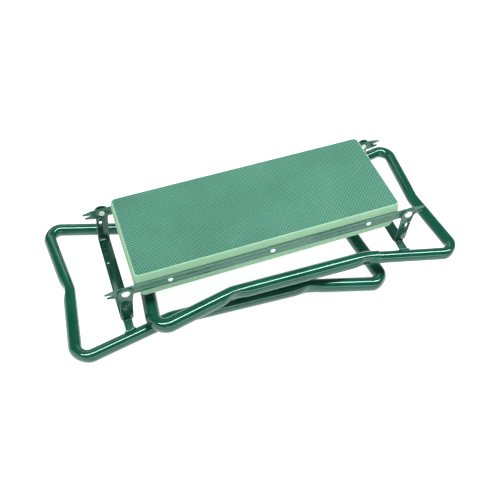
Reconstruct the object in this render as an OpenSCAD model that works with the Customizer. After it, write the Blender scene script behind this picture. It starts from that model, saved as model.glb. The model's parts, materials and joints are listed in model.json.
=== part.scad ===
// Folding garden kneeler seat: a foam pad on two steel rails, with a tubular
// frame hinged at each end. Millimetres, +Z up. The left frame lies flat on
// the ground plane, the right frame is stacked on it, and the pad is on top.

/* [Foam pad] */
// length of the pad's top face
pad_len = 404; // [340:1:460]
// width of the pad's top face
pad_w = 151; // [130:1:200]
// overall thickness of the foam
pad_t = 47; // [30:1:60]
// how far the ends bulge past the top face at mid height
pad_bulge = 2.5; // [0:0.5:12]
// how much further the pad reaches below its centre than above it
pad_low = 2; // [0:0.5:6]

/* [Rails] */
// distance between the left and the right pivots
pivot_span = 438; // [400:1:480]
// height of the rail strip
rail_h = 17; // [14:0.5:24]
// thickness of the rail strip
rail_t = 2; // [1.5:0.1:3]
// outer face of each rail, from the centre plane
rail_y = 78; // [70:0.5:90]
// pivot height below the pad's middle
pivot_drop = 1.7; // [0:0.1:6]
// spacing of the three pad rivets
rivet_pitch = 154; // [100:1:180]

/* [Tube frames] */
// outer diameter of the leg tube
leg_d = 22; // [19:0.5:25]
// outer diameter of the handle tube
handle_d = 19; // [16:0.5:22]
// wall of both tubes
wall = 1.2; // [0.8:0.1:2]
// depth of the tube plane below the pivot
frame_drop = 70; // [55:1:85]
// half width of the straight waist, at the tube's centre
waist_y = 92; // [86:1:100]
// middle of the handle bar, from the pivot
handle_x = 70; // [55:1:90]
// middle of the foot bar, from the pivot
foot_x = 397; // [360:1:420]
// start and end of the straight waist, from the pivot
waist_x0 = 63; // [50:1:80]
// end of the straight waist, from the pivot
waist_x1 = 284; // [240:1:320]
// how far the end of the leg tube reaches over the handle tube
sleeve_x = 43; // [30:1:55]
// outward slope of the side tubes past the waist
flare = 0.238; // [0.1:0.01:0.35]
// slope of each half of an end bar towards its inward bend
bar_slope = 0.1; // [0:0.01:0.2]
// bend radius at the four corners
corner_r = 18; // [14:1:40]

/* [Brackets] */
// radius of the rounded ear head
ear_r = 11; // [9:0.5:14]
// width of the strap
strap_w = 18; // [14:0.5:24]
// sheet thickness of the strap
strap_t = 2; // [1.5:0.1:3]
// gap between a rail and its ear
ear_gap = 1.5; // [1:0.1:3]
// depth of the web's upper face below the pivot
web_drop = 62; // [50:1:70]
// width of the foot tab
tab_w = 12.5; // [8:0.5:18]

/* [Stored pose] */
// pitch of the pad over the left frame
pad_pitch = 5.6; // [0:0.1:10]
// angle of the right frame above the pad's plane
right_lift = 2.6; // [0:0.1:6]

/* [Hidden] */
$fn = 64;
ear_in = rail_y + ear_gap;
ear_out = ear_in + strap_t;
rl = leg_d / 2;
rh = handle_d / 2;
// corner points of the handle and foot bars
ncy = (waist_y + flare * (waist_x0 + handle_x)) / (1 - flare * bar_slope);
ncx = -handle_x - bar_slope * ncy;
fcy = (waist_y + flare * (foot_x - waist_x1)) / (1 - flare * bar_slope);
fcx = foot_x + bar_slope * fcy;
sleeve_y = waist_y + flare * (waist_x0 - sleeve_x);
// how far the handle tube slides into the leg tube
insert = 14;
inx = sleeve_x + insert;
iny = waist_y + flare * (waist_x0 - inx);
// left pivot in the part's frame, found from the overall length
right_pitch = pad_pitch - right_lift;
left_px = -219.79;
left_pz = frame_drop + rl;
right_px = left_px + pivot_span * cos(pad_pitch);
right_pz = left_pz + pivot_span * sin(pad_pitch);
hairline = 0.01;
green = [0.05, 0.42, 0.36];
mint = [0.42, 0.68, 0.55];
steel = [0.86, 0.87, 0.88];

// ---- placing ----
module in_left() { translate([left_px, 0, left_pz]) children(); }
module in_right() {
    translate([right_px, 0, right_pz]) rotate([0, -right_pitch, 0])
        mirror([1, 0, 0]) children();
}
module in_seat() {
    translate([left_px, 0, left_pz]) rotate([0, -pad_pitch, 0])
        translate([pivot_span / 2, 0, pivot_drop]) children();
}

// ---- bent tube: straight runs and true arcs in the XY plane ----
function ang(a, b) = atan2(b[1] - a[1], b[0] - a[0]);
function turn(a, b, c) = let (d = ang(b, c) - ang(a, b)) d > 180 ? d - 360 : d < -180 ? d + 360 : d;
// distance from a corner to the start of its bend
function cut(p, r, i) = (i <= 0 || i >= len(p) - 1) ? 0 : r[i] * tan(abs(turn(p[i - 1], p[i], p[i + 1])) / 2);
module pipe(p, r, rad, ext = 0) {
    for (i = [0 : len(p) - 2]) {
        a = ang(p[i], p[i + 1]);
        s0 = cut(p, r, i) - (i == 0 ? ext : 0);
        s1 = norm(p[i + 1] - p[i]) - cut(p, r, i + 1) + (i == len(p) - 2 ? ext : 0);
        translate([p[i][0], p[i][1], 0]) rotate([0, 0, a]) translate([s0, 0, 0])
            rotate([0, 90, 0]) cylinder(r = rad, h = s1 - s0);
    }
    for (i = [1 : len(p) - 2]) {
        t = turn(p[i - 1], p[i], p[i + 1]);
        a = ang(p[i - 1], p[i]);
        c = cut(p, r, i);
        sg = t > 0 ? 1 : -1;
        translate([p[i][0], p[i][1], 0]) rotate([0, 0, a]) translate([-c, sg * r[i], 0])
            rotate([0, 0, sg > 0 ? -90 : 90 + t])
                rotate_extrude(angle = abs(t)) translate([r[i], 0]) circle(r = rad);
    }
}
// hollow bent tube: straight runs and bends, with a hairline step at each tangent line
module tube(p, r, rad) {
    for (i = [0 : len(p) - 2]) {
        s0 = cut(p, r, i) + hairline;
        s1 = norm(p[i + 1] - p[i]) - cut(p, r, i + 1) - hairline;
        translate([p[i][0], p[i][1], 0]) rotate([0, 0, ang(p[i], p[i + 1])]) translate([s0, 0, 0])
            rotate([90, 0, 90]) linear_extrude(height = s1 - s0) ring(rad);
    }
    for (i = [1 : len(p) - 2]) {
        t = turn(p[i - 1], p[i], p[i + 1]);
        sg = t > 0 ? 1 : -1;
        translate([p[i][0], p[i][1], 0]) rotate([0, 0, ang(p[i - 1], p[i])])
            translate([-cut(p, r, i), sg * r[i], 0]) rotate([0, 0, sg > 0 ? -90 : 90 + t])
                rotate_extrude(angle = abs(t)) translate([r[i], 0]) ring(rad);
    }
}
module ring(rad) difference() { circle(r = rad); circle(r = rad - wall); }

// ---- seat parts, in the pad's own frame ----
module foam_shape() {
    hl = pad_len / 2; hw = pad_w / 2; ht = pad_t / 2; m = 9;
    intersection() {
        rotate([90, 0, 0]) linear_extrude(height = 200, center = true)
            polygon([[-hl, ht], [hl, ht], [hl + pad_bulge, m], [hl + pad_bulge, -m],
                [hl - 5, -ht - pad_low], [-hl + 5, -ht - pad_low], [-hl - pad_bulge, -m], [-hl - pad_bulge, m]]);
        rotate([90, 0, 90]) linear_extrude(height = 500, center = true)
            polygon([[-hw - 0.5, ht], [hw + 0.5, ht], [hw + 0.3, m], [hw + 0.3, -m],
                [hw - 0.1, -ht - pad_low], [-hw + 0.1, -ht - pad_low], [-hw - 0.3, -m], [-hw - 0.3, m]]);
    }
}
board_l = pad_len - 16;
board_w = 2 * (rail_y - rail_t) - 0.4;
board_t = 9;
module foam_pad() color(mint) difference() {
    foam_shape();
    // slot that the board lies in
    translate([0, 0, -pivot_drop]) cube([board_l + 0.4, 200, board_t + 0.4], center = true);
}
module seat_board() color([0.25, 0.25, 0.26]) difference() {
    translate([0, 0, -pivot_drop]) cube([board_l, board_w, board_t], center = true);
    for (sx = [-1, 0, 1], sy = [-1, 1])
        translate([sx * rivet_pitch, sy * (board_w / 2 - 12), -pivot_drop]) rotate([sy > 0 ? -90 : 90, 0, 0])
            cylinder(r = 2.05, h = 20);
}
// outline of one rail: forked at both ends
module rail_outline() {
    e = pivot_span / 2; h = rail_h / 2;
    right = [[e + 15, -h], [e + 25.8, -5.4], [e + 26.2, -3.8], [e + 17.6, -1.8], [e + 17.6, 0.8], [e + 28.5, 3], [e + 28.7, 4.6], [e + 15, h - 0.4], [e + 4, h]];
    polygon([for (q = right) q, for (i = [len(right) - 1 : -1 : 0]) [-right[i][0], right[i][1]]]);
}
module rail_shape() {
    translate([0, 0, -pivot_drop]) rotate([90, 0, 0])
        difference() {
            translate([0, 0, -rail_t / 2]) linear_extrude(height = rail_t) rail_outline();
            for (s = [-1, 1]) translate([s * pivot_span / 2, 0, -5]) cylinder(r = 3, h = 10);
            for (s = [-1, 0, 1]) translate([s * rivet_pitch, 0, -5]) cylinder(r = 2.05, h = 10);
        }
}
module front_rail() color(green) translate([0, -(rail_y - rail_t / 2), 0]) rail_shape();
module back_rail() color(green) translate([0, rail_y - rail_t / 2, 0]) rail_shape();
// domed rivet standing on the XY plane, shank downwards
module dome(r, h) {
    k = (r * r + h * h) / (2 * h);
    intersection() {
        translate([0, 0, h - k]) sphere(r = k);
        cylinder(r = r, h = h);
    }
}
module rail_rivets() color(steel)
    for (sx = [-1, 0, 1], sy = [-1, 1])
        translate([sx * rivet_pitch, sy * rail_y, -pivot_drop]) rotate([sy > 0 ? -90 : 90, 0, 0]) {
            translate([0, 0, 0.02]) dome(3.9, 1.7);
            translate([0, 0, -13]) cylinder(r = 2, h = 13.1);
        }
module pivot_rivets() color(steel)
    for (sx = [-1, 1], sy = [-1, 1])
        translate([sx * pivot_span / 2, sy * rail_y, -pivot_drop]) rotate([sy > 0 ? -90 : 90, 0, 0]) {
            translate([0, 0, ear_gap + strap_t + 0.1]) dome(6.3, 3.2);
            translate([0, 0, -rail_t]) cylinder(r = 2.98, h = rail_t + ear_gap + strap_t + 0.2);
            translate([0, 0, -rail_t - 1.4]) cylinder(r = 4.3, h = 1.4);
        }
module pivot_spacers() color(steel)
    for (sx = [-1, 1], sy = [-1, 1])
        translate([sx * pivot_span / 2, sy * rail_y, -pivot_drop]) rotate([sy > 0 ? -90 : 90, 0, 0])
            translate([0, 0, 0.02]) difference() {
                cylinder(r = 6, h = ear_gap - 0.12);
                translate([0, 0, -1]) cylinder(r = 3.05, h = 5);
            }

// ---- frame parts, in the frame's own axes: pivot at the origin, legs to +X ----
module leg_tube() color(green) translate([0, 0, -frame_drop])
    tube([[sleeve_x, sleeve_y], [waist_x0, waist_y], [waist_x1, waist_y], [fcx, fcy], [foot_x, 0],
        [fcx, -fcy], [waist_x1, -waist_y], [waist_x0, -waist_y], [sleeve_x, -sleeve_y]],
        [0, 45, 45, corner_r, 40, corner_r, 45, 45, 0], rl);
module handle_tube() color(green) translate([0, 0, -frame_drop])
    tube([[inx, iny], [ncx, ncy], [-handle_x, 0], [ncx, -ncy], [inx, -iny]],
        [0, corner_r, 40, corner_r, 0], rh);
// U strap: two ears and a web, with a pressed rib along its inner side
module bracket() color(green) difference() {
    union() {
        for (s = [-1, 1]) {
            // ear
            translate([0, s * (ear_in + strap_t / 2), 0]) rotate([90, 0, 0])
                translate([0, 0, -strap_t / 2]) linear_extrude(height = strap_t) union() {
                    circle(r = ear_r);
                    polygon([[-ear_r, 0], [ear_r, 0], [strap_w / 2, -20], [strap_w / 2, 4 - web_drop],
                        [-strap_w / 2, 4 - web_drop], [-strap_w / 2, -20]]);
                }
            // bend between ear and web
            translate([0, s * (ear_in - 4), 4 - web_drop]) rotate([0, 90, 0]) rotate([0, 0, s > 0 ? 0 : -90])
                translate([0, 0, -strap_w / 2]) rotate_extrude(angle = 90) translate([4, 0]) square([strap_t, strap_w]);
        }
        translate([-strap_w / 2, -(ear_in - 4), -web_drop - strap_t]) cube([strap_w, 2 * (ear_in - 4), strap_t]);
        // rib
        translate([2, 0, 0]) rotate([90, 0, 90])
            pipe([[-(ear_in + 0.4), -14], [-(ear_in + 0.4), -web_drop - 0.4],
                [ear_in + 0.4, -web_drop - 0.4], [ear_in + 0.4, -14]], [0, 4.4, 4.4, 0], 1.5);
        for (s = [-1, 1]) translate([2, s * (ear_in + 0.4), -14]) sphere(r = 1.5);
    }
    rotate([90, 0, 0]) translate([0, 0, -200]) cylinder(r = 3.03, h = 400);
    // slot in each ear
    for (z = [-23, -29]) translate([-3, 0, z]) rotate([90, 0, 0]) translate([0, 0, -200]) cylinder(r = 2.3, h = 400);
    translate([-5.3, -200, -29]) cube([4.6, 400, 6]);
    // two small holes in the web
    for (y = [29, 59]) translate([-4, y, -web_drop - 10]) cylinder(r = 1.7, h = 20);
}
// foot tab under the strap's corner, reaching the side tube
tab_z = -web_drop - strap_t;
tube_y0 = waist_y + flare * waist_x0;
module tab(s) color(green) difference() {
    translate([-tab_w / 2, s > 0 ? 58 : -58 - 44, tab_z - 2.5]) cube([tab_w, 44, 2.49]);
    translate([0, s * tube_y0, -frame_drop]) rotate([0, 0, -s * atan(flare)]) rotate([0, 90, 0])
        translate([0, 0, -30]) cylinder(r = rh + 0.02, h = 60);
}
// weld beads: tab to tube, and tab to strap
module welds() color(green) for (s = [-1, 1]) {
    translate([0, s * (tube_y0 - 8.2), -frame_drop + 6.2]) rotate([0, 0, -s * atan(flare)]) rotate([0, 90, 0]) {
        translate([0, 0, -7]) cylinder(r = 1.9, h = 14);
        for (e = [-7, 7]) translate([0, 0, e]) sphere(r = 1.9);
    }
    translate([0, s * (ear_out - 0.6), tab_z + 0.7]) rotate([0, 90, 0]) {
        translate([0, 0, -6]) cylinder(r = 1.5, h = 12);
        for (e = [-6, 6]) translate([0, 0, e]) sphere(r = 1.5);
    }
}

in_seat() foam_pad();
in_seat() seat_board();
in_seat() front_rail();
in_seat() back_rail();
in_seat() rail_rivets();
in_seat() pivot_rivets();
in_seat() pivot_spacers();
in_left() leg_tube();  // left_leg_tube
in_left() handle_tube();  // left_handle_tube
in_left() bracket();  // left_bracket
in_left() tab(-1);  // left_front_tab
in_left() tab(1);  // left_back_tab
in_left() welds();  // left_welds
in_right() leg_tube();  // right_leg_tube
in_right() handle_tube();  // right_handle_tube
in_right() bracket();  // right_bracket
in_right() tab(-1);  // right_front_tab
in_right() tab(1);  // right_back_tab
in_right() welds();  // right_welds
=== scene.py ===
import json
import math

import bmesh
import bpy
from mathutils import Matrix, Vector


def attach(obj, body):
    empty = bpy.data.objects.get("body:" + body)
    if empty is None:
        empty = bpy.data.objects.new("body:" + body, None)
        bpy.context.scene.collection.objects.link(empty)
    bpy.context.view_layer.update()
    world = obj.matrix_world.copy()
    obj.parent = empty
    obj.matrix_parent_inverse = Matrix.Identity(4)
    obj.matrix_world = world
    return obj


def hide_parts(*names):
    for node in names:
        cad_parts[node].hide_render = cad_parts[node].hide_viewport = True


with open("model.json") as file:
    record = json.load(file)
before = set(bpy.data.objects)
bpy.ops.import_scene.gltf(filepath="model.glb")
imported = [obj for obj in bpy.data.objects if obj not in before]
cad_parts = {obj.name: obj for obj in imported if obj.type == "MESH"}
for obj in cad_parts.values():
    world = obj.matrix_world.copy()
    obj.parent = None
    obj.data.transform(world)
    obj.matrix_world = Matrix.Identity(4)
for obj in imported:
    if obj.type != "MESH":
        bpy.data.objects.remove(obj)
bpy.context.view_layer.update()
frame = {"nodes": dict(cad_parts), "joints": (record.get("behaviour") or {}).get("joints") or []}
nodes = frame["nodes"]

# ---------------------------------------------------------------- the design's own sizes, in metres and degrees
PITCH = 5.6                     # pad over the left frame
RIGHT = 3.0                     # right frame over the left frame
SPAN = 0.438
DROP = 0.0017
FRAME_DROP = 0.070
joints = {j["name"]: j for j in frame["joints"]}
LP = Vector(joints["left_frame_fold"]["pos_m"])
RP = Vector(joints["right_frame_fold"]["pos_m"])


def rot_y(deg):
    return Matrix.Rotation(math.radians(deg), 4, "Y")


SEAT = Matrix.Translation(LP) @ rot_y(-PITCH) @ Matrix.Translation((SPAN / 2, 0, DROP))
LEFT = Matrix.Translation(LP)
RIGHTM = Matrix.Translation(RP) @ rot_y(-RIGHT) @ Matrix.Scale(-1, 4, (1, 0, 0))


# ---------------------------------------------------------------- materials
def new_mat(name):
    m = bpy.data.materials.new(name)
    m.use_nodes = True
    nt = m.node_tree
    bsdf = next(n for n in nt.nodes if n.type == "BSDF_PRINCIPLED")
    return m, nt, bsdf


def node(nt, kind, **values):
    n = nt.nodes.new(kind)
    for k, v in values.items():
        if k in n.inputs:
            n.inputs[k].default_value = v
        else:
            setattr(n, k, v)
    return n


def ramp(nt, a, b, pa=0.0, pb=1.0):
    r = nt.nodes.new("ShaderNodeValToRGB")
    r.color_ramp.elements[0].position = pa
    r.color_ramp.elements[0].color = (*a, 1)
    r.color_ramp.elements[1].position = pb
    r.color_ramp.elements[1].color = (*b, 1)
    return r


def spread(nt, lo, hi, source):
    m = nt.nodes.new("ShaderNodeMapRange")
    m.inputs["To Min"].default_value = lo
    m.inputs["To Max"].default_value = hi
    nt.links.new(source, m.inputs["Value"])
    return m.outputs["Result"]


def bumped(nt, bsdf, height, strength, distance, normal=None):
    b = nt.nodes.new("ShaderNodeBump")
    b.inputs["Strength"].default_value = strength
    b.inputs["Distance"].default_value = distance
    nt.links.new(height, b.inputs["Height"])
    if normal:
        nt.links.new(normal, b.inputs["Normal"])
    nt.links.new(b.outputs["Normal"], bsdf.inputs["Normal"])
    return b.outputs["Normal"]


def paint_material(name, base, rough=0.2):
    """Glossy sprayed enamel: slight mottling, orange peel, a few dulled patches, and paler worn edges."""
    m, nt, bsdf = new_mat(name)
    tc = node(nt, "ShaderNodeTexCoord")
    mottle = node(nt, "ShaderNodeTexNoise", Scale=26.0, Detail=3.0, Roughness=0.55)
    nt.links.new(tc.outputs["Object"], mottle.inputs["Vector"])
    col = ramp(nt, tuple(c * 0.82 for c in base), tuple(min(1, c * 1.2 + 0.002) for c in base), 0.3, 0.72)
    nt.links.new(mottle.outputs["Fac"], col.inputs["Fac"])
    geo = node(nt, "ShaderNodeNewGeometry")
    edge = ramp(nt, (0, 0, 0), (1, 1, 1), 0.54, 0.62)
    nt.links.new(geo.outputs["Pointiness"], edge.inputs["Fac"])
    chips = node(nt, "ShaderNodeTexNoise", Scale=420.0, Detail=2.0)
    nt.links.new(tc.outputs["Object"], chips.inputs["Vector"])
    worn = node(nt, "ShaderNodeMath", operation="MULTIPLY")
    nt.links.new(edge.outputs["Color"], worn.inputs[0])
    nt.links.new(chips.outputs["Fac"], worn.inputs[1])
    mix = node(nt, "ShaderNodeMix", data_type="RGBA")
    nt.links.new(worn.outputs["Value"], mix.inputs["Factor"])
    nt.links.new(col.outputs["Color"], mix.inputs[6])
    mix.inputs[7].default_value = (0.05, 0.20, 0.14, 1)
    nt.links.new(mix.outputs[2], bsdf.inputs["Base Color"])
    dull = node(nt, "ShaderNodeTexNoise", Scale=9.0, Detail=4.0)
    nt.links.new(tc.outputs["Object"], dull.inputs["Vector"])
    nt.links.new(spread(nt, rough - 0.03, rough + 0.05, dull.outputs["Fac"]), bsdf.inputs["Roughness"])
    peel = node(nt, "ShaderNodeTexNoise", Scale=520.0, Detail=2.0)
    nt.links.new(tc.outputs["Object"], peel.inputs["Vector"])
    bumped(nt, bsdf, peel.outputs["Fac"], 0.05, 0.0003)
    bsdf.inputs["Coat Weight"].default_value = 0.25
    bsdf.inputs["Specular Tint"].default_value = (0.62, 1.0, 0.86, 1)
    bsdf.inputs["Coat Roughness"].default_value = 0.05
    bsdf.inputs["Specular IOR Level"].default_value = 0.8
    return m


def rail_material(name):
    """The rails' enamel: long streaks that are rougher and paler grey-green; the grey-green is partly scuffing and
    partly a painted reflection of the pale floor.
    """
    m = paint_material(name, (0.004, 0.088, 0.056), 0.2)
    nt = m.node_tree
    bsdf = next(n for n in nt.nodes if n.type == "BSDF_PRINCIPLED")
    base = bsdf.inputs["Base Color"].links[0].from_socket
    tc = node(nt, "ShaderNodeTexCoord")
    mp = node(nt, "ShaderNodeMapping", Scale=(9.0, 20.0, 16.0))
    nt.links.new(tc.outputs["Object"], mp.inputs["Vector"])
    n = node(nt, "ShaderNodeTexNoise", Scale=1.0, Detail=5.0, Roughness=0.6)
    nt.links.new(mp.outputs["Vector"], n.inputs["Vector"])
    fac = ramp(nt, (0, 0, 0), (0.75, 0.75, 0.75), 0.40, 0.62)
    nt.links.new(n.outputs["Fac"], fac.inputs["Fac"])
    # the streak mask lays paler grey-green: rougher scuffs, plus a painted reflection of the pale floor
    mix = node(nt, "ShaderNodeMix", data_type="RGBA")
    nt.links.new(fac.outputs["Color"], mix.inputs["Factor"])
    nt.links.new(base, mix.inputs[6])
    mix.inputs[7].default_value = (0.070, 0.190, 0.135, 1)
    nt.links.new(mix.outputs[2], bsdf.inputs["Base Color"])
    nt.links.new(spread(nt, 0.16, 0.5, fac.outputs["Color"]), bsdf.inputs["Roughness"])
    return m


def weld_material(name):
    """Enamel over weld beads: glossy, with pale flecks of spatter showing through."""
    m = paint_material(name, (0.006, 0.095, 0.062), 0.14)
    nt = m.node_tree
    bsdf = next(n for n in nt.nodes if n.type == "BSDF_PRINCIPLED")
    base = bsdf.inputs["Base Color"].links[0].from_socket
    tc = node(nt, "ShaderNodeTexCoord")
    n = node(nt, "ShaderNodeTexNoise", Scale=650.0, Detail=2.0)
    nt.links.new(tc.outputs["Object"], n.inputs["Vector"])
    fac = ramp(nt, (0, 0, 0), (0.8, 0.8, 0.8), 0.56, 0.66)
    nt.links.new(n.outputs["Fac"], fac.inputs["Fac"])
    mix = node(nt, "ShaderNodeMix", data_type="RGBA")
    nt.links.new(fac.outputs["Color"], mix.inputs["Factor"])
    nt.links.new(base, mix.inputs[6])
    mix.inputs[7].default_value = (0.42, 0.62, 0.52, 1)
    nt.links.new(mix.outputs[2], bsdf.inputs["Base Color"])
    return m


def zinc_material(name, base, rough, metal=0.85):
    m, nt, bsdf = new_mat(name)
    tc = node(nt, "ShaderNodeTexCoord")
    n = node(nt, "ShaderNodeTexNoise", Scale=700.0, Detail=3.0)
    nt.links.new(tc.outputs["Object"], n.inputs["Vector"])
    col = ramp(nt, tuple(c * 0.86 for c in base), base, 0.3, 0.7)
    nt.links.new(n.outputs["Fac"], col.inputs["Fac"])
    nt.links.new(col.outputs["Color"], bsdf.inputs["Base Color"])
    nt.links.new(spread(nt, rough - 0.06, rough + 0.12, n.outputs["Fac"]), bsdf.inputs["Roughness"])
    bumped(nt, bsdf, n.outputs["Fac"], 0.15, 0.0002)
    bsdf.inputs["Metallic"].default_value = metal
    return m


def board_material(name):
    m, nt, bsdf = new_mat(name)
    tc = node(nt, "ShaderNodeTexCoord")
    w = node(nt, "ShaderNodeTexWave", Scale=60.0, Distortion=3.0, Detail=3.0, bands_direction="Z")
    nt.links.new(tc.outputs["Object"], w.inputs["Vector"])
    col = ramp(nt, (0.20, 0.13, 0.07), (0.38, 0.27, 0.16))
    nt.links.new(w.outputs["Fac"], col.inputs["Fac"])
    nt.links.new(col.outputs["Color"], bsdf.inputs["Base Color"])
    nt.links.new(spread(nt, 0.6, 0.8, w.outputs["Fac"]), bsdf.inputs["Roughness"])
    bumped(nt, bsdf, w.outputs["Fac"], 0.2, 0.0003)
    return m


def foam_top_material(name):
    """Moulded foam skin: a fine diagonal grid of raised dots, with the crests painted lighter as a painted highlight.
    """
    m, nt, bsdf = new_mat(name)
    tc = node(nt, "ShaderNodeTexCoord")
    sep = node(nt, "ShaderNodeSeparateXYZ")
    nt.links.new(tc.outputs["Object"], sep.inputs["Vector"])

    def math_node(op, a, b=None):
        n = node(nt, "ShaderNodeMath", operation=op)
        for i, v in enumerate((a, b)):
            if v is None:
                continue
            if isinstance(v, float):
                n.inputs[i].default_value = v
            else:
                nt.links.new(v, n.inputs[i])
        return n.outputs["Value"]

    k = 2 * math.pi / DOT
    su = math_node("COSINE", math_node("MULTIPLY", math_node("ADD", sep.outputs["X"], sep.outputs["Y"]), k * 0.7071))
    sv = math_node("COSINE", math_node("MULTIPLY", math_node("SUBTRACT", sep.outputs["X"], sep.outputs["Y"]), k * 0.7071))
    dots = math_node("ADD", math_node("MULTIPLY", math_node("ADD", su, sv), 0.25), 0.5)
    blotch = node(nt, "ShaderNodeTexNoise", Scale=14.0, Detail=4.0, Roughness=0.6)
    nt.links.new(tc.outputs["Object"], blotch.inputs["Vector"])
    cells = node(nt, "ShaderNodeTexNoise", Scale=900.0, Detail=2.0)
    nt.links.new(tc.outputs["Object"], cells.inputs["Vector"])
    base = ramp(nt, TOP_LO, TOP_HI, 0.25, 0.75)
    nt.links.new(blotch.outputs["Fac"], base.inputs["Fac"])
    # the dot crests are painted lighter, in patches: a painted highlight on each raised dot
    mix = node(nt, "ShaderNodeMix", data_type="RGBA")
    crest_highlight = math_node("MULTIPLY", math_node("POWER", dots, 2.6), spread(nt, 0.45, 1.1, blotch.outputs["Fac"]))
    nt.links.new(crest_highlight, mix.inputs["Factor"])
    nt.links.new(base.outputs["Color"], mix.inputs[6])
    mix.inputs[7].default_value = (0.16, 0.44, 0.31, 1)
    nt.links.new(mix.outputs[2], bsdf.inputs["Base Color"])
    nt.links.new(spread(nt, 0.55, 0.75, cells.outputs["Fac"]), bsdf.inputs["Roughness"])
    n1 = bumped(nt, bsdf, dots, 0.6, 0.0007)
    bumped(nt, bsdf, cells.outputs["Fac"], 0.15, 0.0002, n1)
    bsdf.inputs["Sheen Weight"].default_value = 0.15
    return m


def foam_side_material(name):
    m, nt, bsdf = new_mat(name)
    tc = node(nt, "ShaderNodeTexCoord")
    blotch = node(nt, "ShaderNodeTexNoise", Scale=18.0, Detail=5.0, Roughness=0.6)
    nt.links.new(tc.outputs["Object"], blotch.inputs["Vector"])
    cells = node(nt, "ShaderNodeTexVoronoi", Scale=650.0)
    nt.links.new(tc.outputs["Object"], cells.inputs["Vector"])
    base = ramp(nt, SIDE_LO, SIDE_HI, 0.25, 0.75)
    nt.links.new(blotch.outputs["Fac"], base.inputs["Fac"])
    mix = node(nt, "ShaderNodeMix", data_type="RGBA", blend_type="MULTIPLY")
    mix.inputs["Factor"].default_value = 0.25
    nt.links.new(base.outputs["Color"], mix.inputs[6])
    # the pits of the cut cells are painted darker: painted shade in the pores
    pore_shade = ramp(nt, (0.75, 0.85, 0.78), (1, 1, 1), 0.0, 0.5)
    nt.links.new(cells.outputs["Distance"], pore_shade.inputs["Fac"])
    nt.links.new(pore_shade.outputs["Color"], mix.inputs[7])
    nt.links.new(mix.outputs[2], bsdf.inputs["Base Color"])
    nt.links.new(spread(nt, 0.7, 0.9, blotch.outputs["Fac"]), bsdf.inputs["Roughness"])
    bumped(nt, bsdf, cells.outputs["Distance"], 0.25, 0.0004)
    return m


DOT = 0.0039
TOP_LO, TOP_HI = (0.011, 0.117, 0.070), (0.022, 0.152, 0.095)
SIDE_LO, SIDE_HI = (0.26, 0.50, 0.31), (0.33, 0.57, 0.38)
PAINT = paint_material("enamel_green", (0.0012, 0.068, 0.040), 0.11)
# a darker copy of the frame enamel for the brackets and tabs: painted shade from the pad above them
PAINT_SHADED = paint_material("enamel_green_strap", (0.0020, 0.056, 0.036), 0.16)
RAIL = rail_material("enamel_green_rail")
WELD = weld_material("enamel_over_weld")
ZINC = zinc_material("zinc_bright", (0.90, 0.96, 0.92), 0.25, 0.3)
SPACER = zinc_material("zinc_dull", (0.30, 0.42, 0.38), 0.4)
BOARD = board_material("board_edge")
FOAM_TOP = foam_top_material("foam_top_skin")
FOAM_SIDE = foam_side_material("foam_cut_side")


def give(o, mat):
    o.data.materials.clear()
    o.data.materials.append(mat)


# ---------------------------------------------------------------- mesh helpers
def finish_mesh(name, bm, mats, matrix, body, replaces, smooth=True, sharp=None):
    me = bpy.data.meshes.new(name)
    bmesh.ops.recalc_face_normals(bm, faces=bm.faces)
    bm.transform(Matrix.Identity(4))
    bm.to_mesh(me)
    bm.free()
    o = bpy.data.objects.new(name, me)
    bpy.context.scene.collection.objects.link(o)
    for mt in mats:
        me.materials.append(mt)
    for p in me.polygons:
        p.use_smooth = smooth
    if sharp:
        me.set_sharp_from_angle(angle=math.radians(sharp))
    o.matrix_world = matrix
    if matrix.determinant() < 0:
        # bake the mirror, so that the object keeps a plain turn and place
        turn = matrix @ Matrix.Scale(-1, 4, (1, 0, 0))
        me.transform(Matrix.Scale(-1, 4, (1, 0, 0)))
        me.flip_normals()
        o.matrix_world = turn
    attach(o, body)
    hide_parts(*replaces)
    return o


def path_points(pts, radii, step=0.004):
    """Centre line of a bent tube: straight runs and arcs, as (point, tangent, distance) samples."""
    P = [Vector((p[0], p[1], 0)) for p in pts]
    out = []

    def add_line(a, b):
        n = max(1, int((b - a).length / step))
        for i in range(n + 1):
            out.append(a.lerp(b, i / n))

    start = P[0]
    for i in range(1, len(P) - 1):
        d0 = (P[i] - P[i - 1]).normalized()
        d1 = (P[i + 1] - P[i]).normalized()
        ang = d0.angle(d1)
        r = radii[i]
        cut = r * math.tan(ang / 2)
        a, b = P[i] - d0 * cut, P[i] + d1 * cut
        add_line(start, a)
        side = 1 if d0.cross(d1).z > 0 else -1
        centre = a + Vector((-d0.y, d0.x, 0)) * side * r
        n = max(4, int(math.degrees(ang) / 5) + 1)
        for k in range(1, n):
            out.append(centre + Matrix.Rotation(side * ang * k / n, 3, "Z") @ (a - centre))
        start = b
    add_line(start, P[-1])
    clean = [out[0]]
    for q in out[1:]:
        if (q - clean[-1]).length > 1e-5:
            clean.append(q)
    return clean


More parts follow.
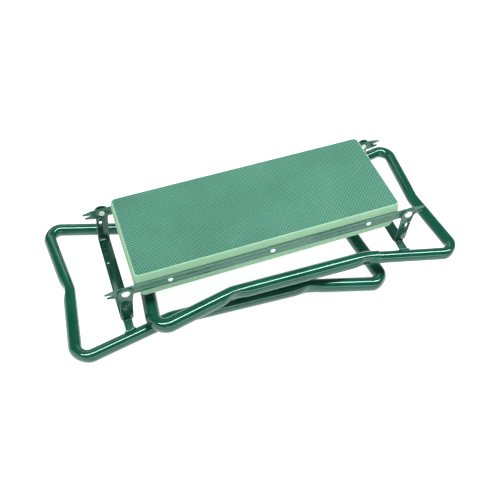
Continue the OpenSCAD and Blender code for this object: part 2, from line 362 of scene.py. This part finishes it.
def sweep(pts, radii, rad, seg=40, dents=(), lip=None):
    """A bmesh tube along the path. dents are (x, y, facing x, facing y, depth, length): crush marks of the bender."""
    line = path_points(pts, radii, 0.003)
    bm = bmesh.new()
    rings = []
    up = Vector((0, 0, 1))
    for i, p in enumerate(line):
        t = (line[min(i + 1, len(line) - 1)] - line[max(i - 1, 0)]).normalized()
        n = up.cross(t).normalized()
        ring = []
        for k in range(seg):
            a = 2 * math.pi * k / seg
            d = n * math.cos(a) + up * math.sin(a)
            r = rad
            q = p + d * rad
            for (dx, dy, nx, ny, depth, lon) in dents:
                near = math.exp(-((p.x - dx) ** 2 + (p.y - dy) ** 2) / lon ** 2)
                if near > 0.01:
                    facing = (d.x * nx + d.y * ny) * 0.99 - d.z * 0.02
                    w = max(0.0, (facing - 0.48) / 0.52)
                    w = w * w * (3 - 2 * w)
                    r -= depth * near * w
                    # raised lip round the pressed oval
                    r += 0.0003 * near * math.exp(-((facing - 0.44) / 0.14) ** 2)
            q = p + d * r
            ring.append(bm.verts.new(q))
        rings.append(ring)
    for a, b in zip(rings, rings[1:]):
        for k in range(seg):
            bm.faces.new((a[k], a[(k + 1) % seg], b[(k + 1) % seg], b[k]))
    for which in (0, -1):
        ring = rings[which]
        p = line[which]
        inner_r = lip if lip else rad * 0.8
        t = (line[1] - line[0]).normalized() if which == 0 else (line[-1] - line[-2]).normalized()
        n = up.cross(t).normalized()
        sgn = 1 if which == 0 else -1
        inner, deep = [], []
        for k in range(seg):
            a = 2 * math.pi * k / seg
            d = n * math.cos(a) + up * math.sin(a)
            inner.append(bm.verts.new(p + d * inner_r))
            deep.append(bm.verts.new(p + d * inner_r + t * sgn * 0.012))
        for k in range(seg):
            j = (k + 1) % seg
            bm.faces.new((ring[k], ring[j], inner[j], inner[k]))
            bm.faces.new((inner[k], inner[j], deep[j], deep[k]))
    return bm


# ---------------------------------------------------------------- tubes
WAIST, X0, X1, FLARE, SLOPE = 0.092, 0.063, 0.284, 0.238, 0.1
HX, FX, SLEEVE, CR = 0.070, 0.397, 0.043, 0.018
ncy = (WAIST + FLARE * (X0 + HX)) / (1 - FLARE * SLOPE)
ncx = -HX - SLOPE * ncy
fcy = (WAIST + FLARE * (FX - X1)) / (1 - FLARE * SLOPE)
fcx = FX + SLOPE * fcy
sly = WAIST + FLARE * (X0 - SLEEVE)
inx = SLEEVE + 0.014
iny = WAIST + FLARE * (X0 - inx)
LEG_PTS = [(SLEEVE, sly), (X0, WAIST), (X1, WAIST), (fcx, fcy), (FX, 0), (fcx, -fcy), (X1, -WAIST), (X0, -WAIST), (SLEEVE, -sly)]
LEG_R = [0, 0.045, 0.045, CR, 0.040, CR, 0.045, 0.045, 0]
HAND_PTS = [(inx, iny), (ncx, ncy), (-HX, 0), (ncx, -ncy), (inx, -iny)]
HAND_R = [0, CR, 0.040, CR, 0]
DENTS = [(x, s * WAIST, 0, s, 0.0042, 0.0125) for x in (X0, X1) for s in (-1, 1)]
LEG_DENTS = DENTS + [(FX, 0, 1, 0, 0.0034, 0.012)]
HAND_DENTS = [(-HX, 0, -1, 0, 0.0034, 0.012)]
# the outside of each tight corner is drawn flatter than a true pipe
LEG_DENTS += [(fcx - 0.0055, s * (fcy - 0.0055), 0.72, s * 0.69, 0.0022, 0.015) for s in (-1, 1)]
HAND_DENTS += [(ncx + 0.0055, s * (ncy - 0.0055), -0.72, s * 0.69, 0.0022, 0.015) for s in (-1, 1)]
DOWN = Matrix.Translation((0, 0, -FRAME_DROP))
for side, place in (("left", LEFT), ("right", RIGHTM)):
    body = side + "_frame"
    leg = finish_mesh(side + "_leg_loop", sweep(LEG_PTS, LEG_R, 0.011, dents=LEG_DENTS, lip=0.0097),
                      [PAINT], place @ DOWN, body, [side + "_leg_tube"], sharp=50)
    hand = finish_mesh(side + "_handle_loop", sweep(HAND_PTS, HAND_R, 0.0095, dents=HAND_DENTS),
                       [PAINT], place @ DOWN, body, [side + "_handle_tube"], sharp=50)


# ---------------------------------------------------------------- foam pad
def rounded_outline(hl, hw, r, per_corner=8, per_long=48, per_short=20):
    pts = []
    corners = [(hl - r, hw - r, 0), (-hl + r, hw - r, 90), (-hl + r, -hw + r, 180), (hl - r, -hw + r, 270)]
    for i, (cx, cy, a0) in enumerate(corners):
        for k in range(per_corner + 1):
            a = math.radians(a0 + 90 * k / per_corner)
            pts.append(Vector((cx + r * math.cos(a), cy + r * math.sin(a), 0)))
        nx = corners[(i + 1) % 4]
        a1 = math.radians(nx[2])
        b = Vector((nx[0] + r * math.cos(a1), nx[1] + r * math.sin(a1), 0))
        a = pts[-1]
        n = per_long if i % 2 == 0 else per_short
        for k in range(1, n):
            pts.append(a.lerp(b, k / n))
    return pts


def foam():
    ht = 0.0235
    hl, hw = 0.2022, 0.0760
    # (z, half length, half width), from the bottom's edge to the top's edge
    prof = [(-ht - 0.0019, 0.197, 0.0756), (-0.009, 0.2042, 0.0757), (0.009, 0.2043, 0.0757), (ht, 0.2022, 0.0760)]
    e = 0.0018
    lo, hi = prof[0], prof[-1]
    rows = []
    for k in range(7):            # rounded bottom edge
        a = math.radians(90 * k / 6)
        rows.append((lo[0] + e * (1 - math.cos(a)), lo[1] - e * (1 - math.sin(a)), lo[2] - e * (1 - math.sin(a))))
    def lerp_rows(p, q, n, skip_first=True, skip_last=False):
        for k in range(1 if skip_first else 0, n + (0 if skip_last else 1)):
            t = k / n
            rows.append((p[0] + (q[0] - p[0]) * t, p[1] + (q[1] - p[1]) * t, p[2] + (q[2] - p[2]) * t))
    lerp_rows((lo[0] + e, lo[1], lo[2]), prof[1], 6)
    lerp_rows(prof[1], prof[2], 6)
    lerp_rows(prof[2], (hi[0] - e, hi[1], hi[2]), 6)
    for k in range(1, 7):         # rounded top edge
        a = math.radians(90 * k / 6)
        rows.append((hi[0] - e * (1 - math.sin(a)), hi[1] - e * (1 - math.cos(a)), hi[2] - e * (1 - math.cos(a))))
    bm = bmesh.new()
    rings = []
    for (z, l, w) in rows:
        rings.append([bm.verts.new(Vector((p.x, p.y, z))) for p in rounded_outline(l, w, 0.005)])
    n = len(rings[0])
    side_faces = []
    for a, b in zip(rings, rings[1:]):
        for k in range(n):
            side_faces.append(bm.faces.new((a[k], a[(k + 1) % n], b[(k + 1) % n], b[k])))
    top_faces = []
    for ring, z0, sg in ((rings[-1], ht, 1), (rings[0], lo[0], -1)):
        prev = ring
        base = [v.co.copy() for v in ring]
        for s in (0.985, 0.95, 0.9, 0.8, 0.68, 0.54, 0.4, 0.26, 0.12, 0.03):
            cur = []
            for c in base:
                # long pad: shrink both ways by the same distance, so the rings stay even
                shrink = (1 - s) * hw
                fx = max(0.0, abs(c.x) - shrink) * (1 if c.x >= 0 else -1)
                fy = c.y * s
                crown = 0.0006 * (1 - (fx / hl) ** 2) * (1 - (fy / hw) ** 2)
                soft = 0.00018 * math.sin(fx * 43 + 1.3) * math.sin(fy * 61 + 0.4)
                cur.append(bm.verts.new(Vector((fx, fy, z0 - sg * 0.0006 + sg * crown + soft))))
            for k in range(n):
                f = bm.faces.new((prev[k], prev[(k + 1) % n], cur[(k + 1) % n], cur[k]))
                top_faces.append(f)
            prev = cur
        # close the middle strip
        top_faces.append(bm.faces.new(prev if sg > 0 else list(reversed(prev))))
    for f in top_faces:
        f.material_index = 0
    for f in side_faces:
        f.material_index = 1
    bm.faces.ensure_lookup_table()
    return bm


pad = finish_mesh("foam_pad_body", foam(), [FOAM_TOP, FOAM_SIDE], SEAT, "seat", ["foam_pad"], sharp=40)

# ---------------------------------------------------------------- pressed steel with its edges broken
def refine(name, mat, body, width, levels=0, rough=0.0, scale=900.0):
    """A finer copy of a node's shape: edges rounded, and for weld beads a rippled skin."""
    me = nodes[name].data.copy()
    me.name = name + "_skin"
    o = bpy.data.objects.new(name + "_detail", me)
    bpy.context.scene.collection.objects.link(o)
    bm = bmesh.new()
    bm.from_mesh(me)
    bmesh.ops.remove_doubles(bm, verts=bm.verts, dist=1e-6)
    bmesh.ops.dissolve_limit(bm, angle_limit=math.radians(1), verts=bm.verts, edges=bm.edges)
    if width:
        sharp = [e for e in bm.edges if len(e.link_faces) == 2 and e.calc_face_angle(0) > math.radians(38)]
        bmesh.ops.bevel(bm, geom=sharp, offset=width, segments=2, profile=0.5, affect="EDGES", clamp_overlap=True)
    bmesh.ops.triangulate(bm, faces=[f for f in bm.faces if len(f.verts) > 4])
    if levels:
        bmesh.ops.subdivide_edges(bm, edges=bm.edges, cuts=levels, use_grid_fill=True)
        bm.normal_update()
        from mathutils import noise
        for v in bm.verts:
            n = noise.noise(v.co * scale) * 0.5 + noise.noise(v.co * scale * 2.3 + Vector((7, 1, 3))) * 0.3
            v.co += v.normal * (n * rough - rough * 0.35)
    bm.to_mesh(me)
    bm.free()
    me.materials.clear()
    me.materials.append(mat)
    for p in me.polygons:
        p.use_smooth = True
    me.set_sharp_from_angle(angle=math.radians(35))
    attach(o, body)
    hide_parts(name)
    return o


for n in ("front_rail", "back_rail"):
    refine(n, RAIL, "seat", 0.0004)
for side in ("left", "right"):
    for n in ("bracket", "front_tab", "back_tab"):
        # brackets and tabs take the darker enamel copy, which is painted shade
        refine(f"{side}_{n}", PAINT_SHADED, side + "_frame", 0.0003)
    refine(side + "_welds", WELD, side + "_frame", 0, levels=3, rough=0.0007)

# ---------------------------------------------------------------- CAD nodes that stay
give(nodes["seat_board"], BOARD)
give(nodes["rail_rivets"], ZINC)
give(nodes["pivot_rivets"], ZINC)
give(nodes["pivot_spacers"], SPACER)

# ---------------------------------------------------------------- floor, lights, camera
def stage_mat():
    m, nt, bsdf = new_mat("studio_floor")
    tc = node(nt, "ShaderNodeTexCoord")
    n = node(nt, "ShaderNodeTexNoise", Scale=2.0, Detail=2.0)
    nt.links.new(tc.outputs["Object"], n.inputs["Vector"])
    col = ramp(nt, (0.42, 0.42, 0.42), (0.46, 0.46, 0.46))
    nt.links.new(n.outputs["Fac"], col.inputs["Fac"])
    nt.links.new(col.outputs["Color"], bsdf.inputs["Base Color"])
    bsdf.inputs["Roughness"].default_value = 0.9
    bsdf.inputs["Specular IOR Level"].default_value = 0.1
    bsdf.inputs["Emission Color"].default_value = (1, 1, 1, 1)
    bsdf.inputs["Emission Strength"].default_value = 0.93
    return m


bm = bmesh.new()
bmesh.ops.create_grid(bm, x_segments=8, y_segments=8, size=6.0)
me = bpy.data.meshes.new("floor")
bm.to_mesh(me)
bm.free()
floor = bpy.data.objects.new("floor", me)
floor.location = (0, 0, -0.0005)
bpy.context.scene.collection.objects.link(floor)
me.materials.append(stage_mat())

world = bpy.data.worlds.new("studio")
bpy.context.scene.world = world
world.use_nodes = True
bg = next(n for n in world.node_tree.nodes if n.type == "BACKGROUND")
# a pale horizon under a dim ceiling, so that the enamel has something to reflect
wt = world.node_tree
wtc = node(wt, "ShaderNodeTexCoord")
wsep = node(wt, "ShaderNodeSeparateXYZ")
wt.links.new(wtc.outputs["Generated"], wsep.inputs["Vector"])
sky = ramp(wt, (0.85, 0.85, 0.85), (0.10, 0.10, 0.10), 0.10, 0.36)
wt.links.new(wsep.outputs["Z"], sky.inputs["Fac"])
wt.links.new(sky.outputs["Color"], bg.inputs["Color"])
bg.inputs["Strength"].default_value = 1.0


def area(name, loc, target, sx, sy, power):
    l = bpy.data.lights.new(name, "AREA")
    l.shape = "RECTANGLE"
    l.size, l.size_y = sx, sy
    l.energy = power
    o = bpy.data.objects.new(name, l)
    o.location = loc
    o.rotation_euler = (Vector(target) - Vector(loc)).to_track_quat("-Z", "Y").to_euler()
    bpy.context.scene.collection.objects.link(o)
    return o


# the key hangs level, its long side along X, so that it draws one long line down each tube
key = area("key_top", (0.35, -0.05, 2.0), (0.35, -0.05, 0), 2.6, 0.32, 60)
key.rotation_euler = (0, 0, 0)
area("strip_back", (0.1, 1.7, 1.5), (0, 0, 0.05), 2.2, 0.5, 6)
area("fill_front", (0.2, -2.4, 1.0), (0, 0, 0.05), 2.4, 0.6, 14)
area("fill_left", (-2.2, -0.3, 0.9), (0, 0, 0.05), 1.4, 0.3, 5)

# the camera, stated in the pad's own frame and then carried to the part's frame
AZ, EL, ROLL, DIST = -20.278, 51.925, 0.606, 0.98144
TARGET = Vector((-0.03141, -0.06637, -0.00057))
az, el = math.radians(AZ), math.radians(EL)
back = Vector((math.sin(az) * math.cos(el), -math.cos(az) * math.cos(el), math.sin(el)))
fwd = -back
right = fwd.cross(Vector((0, 0, 1))).normalized()
up = right.cross(fwd)
cr, sr = math.cos(math.radians(ROLL)), math.sin(math.radians(ROLL))
r2 = right * cr + up * sr
u2 = -right * sr + up * cr
m = Matrix((r2, u2, back)).transposed().to_4x4()
m.translation = TARGET + back * DIST
cam = bpy.data.cameras.new("camera")
cam.sensor_width = 36
cam.sensor_fit = "HORIZONTAL"
cam.lens = 676.164 / 500 * 36
cam.clip_start = 0.01
cam_o = bpy.data.objects.new("camera", cam)
bpy.context.scene.collection.objects.link(cam_o)
cam_o.matrix_world = SEAT @ m
bpy.context.scene.camera = cam_o
bpy.context.scene.view_settings.view_transform = "Standard"
